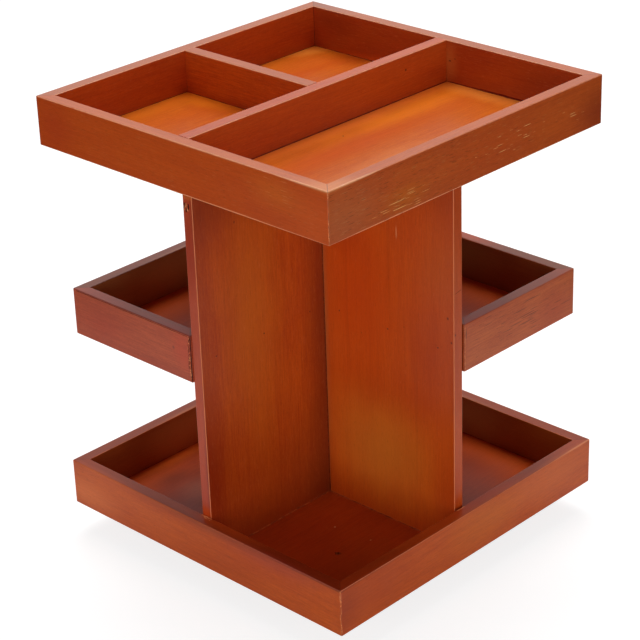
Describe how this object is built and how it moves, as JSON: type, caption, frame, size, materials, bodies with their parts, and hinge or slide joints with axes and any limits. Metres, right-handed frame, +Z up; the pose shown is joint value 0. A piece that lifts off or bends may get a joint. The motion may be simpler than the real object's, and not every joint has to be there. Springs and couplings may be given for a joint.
{
  "type": "rotating desk organizer",
  "caption": "Square revolving wooden desk organizer: base tray, tall open bays around crossed panels, small side trays at half height and a divided top tray.",
  "frame": {"origin": "on the desk, under the turntable's axis", "axes": "+Z up along the turntable's axis; the corner between -X and -Y is the front, -X the front left side and -Y the front right side"},
  "size_m": [0.2564, 0.2564, 0.3207],
  "materials": {
    "foot_board_wood": "satin cherry stain",
    "foot_rubber": "matt black",
    "screw_steel": "zinc plated",
    "turntable_zinc": "zinc plated sheet",
    "cage_steel": "plain sheet",
    "ball_steel": "polished",
    "base_floor_wood": "semi-gloss cherry stain",
    "base_rim_wood": "semi-gloss cherry stain",
    "panel_wood": "semi-gloss cherry stain, upright grain",
    "small_tray_floor_wood": "semi-gloss cherry stain",
    "small_tray_rim_wood": "semi-gloss cherry stain",
    "top_floor_wood": "semi-gloss cherry stain",
    "top_rim_wood": "semi-gloss cherry stain, worn arrises",
    "divider_wood": "semi-gloss cherry stain, worn arrises",
    "brad_steel": "plain wire, ends filled and stained over"
  },
  "bodies": {
    "stand": {"foot_board": "foot_board_wood", "rubber_foot_front": "foot_rubber", "rubber_foot_left": "foot_rubber", "rubber_foot_back": "foot_rubber", "rubber_foot_right": "foot_rubber", "foot_screws": "screw_steel", "turntable_lower_plate": "turntable_zinc", "lower_plate_screws": "screw_steel"},
    "bearing_cage": {"ball_cage": "cage_steel", "bearing_balls": "ball_steel"},
    "carousel": {"upper_plate_screws": "screw_steel", "turntable_upper_plate": "turntable_zinc", "centre_rivet": "turntable_zinc", "base_floor": "base_floor_wood", "base_rim_front_left": "base_rim_wood", "base_rim_front_right": "base_rim_wood", "base_rim_back_left": "base_rim_wood", "base_rim_back_right": "base_rim_wood", "long_panel": "panel_wood", "front_panel": "panel_wood", "rear_panel": "panel_wood", "left_tray_floor": "small_tray_floor_wood", "right_tray_floor": "small_tray_floor_wood", "left_tray_rim_front_left": "small_tray_rim_wood", "left_tray_rim_front_right": "small_tray_rim_wood", "left_tray_rim_back_left": "small_tray_rim_wood", "left_tray_rim_back_right": "small_tray_rim_wood", "right_tray_rim_front_left": "small_tray_rim_wood", "right_tray_rim_front_right": "small_tray_rim_wood", "right_tray_rim_back_left": "small_tray_rim_wood", "right_tray_rim_back_right": "small_tray_rim_wood", "top_floor": "top_floor_wood", "top_rim_front_left": "top_rim_wood", "top_rim_front_right": "top_rim_wood", "top_rim_back_left": "top_rim_wood", "top_rim_back_right": "top_rim_wood", "long_divider": "divider_wood", "short_divider": "divider_wood", "base_floor_brads": "brad_steel", "top_floor_brads": "brad_steel", "tray_brads": "brad_steel"}
  },
  "joints": [
    {"name": "carousel_spin", "type": "hinge", "parent": "stand", "child": "carousel", "pos_m": [0, 0, 0.017], "axis": [0, 0, 1], "continuous": true},
    {"name": "cage_spin", "type": "hinge", "parent": "stand", "child": "bearing_cage", "pos_m": [0, 0, 0.017], "axis": [0, 0, 1], "continuous": true}
  ],
  "couplings": [
    {"joint": "cage_spin", "follows": "carousel_spin", "ratio": 0.5}
  ]
}
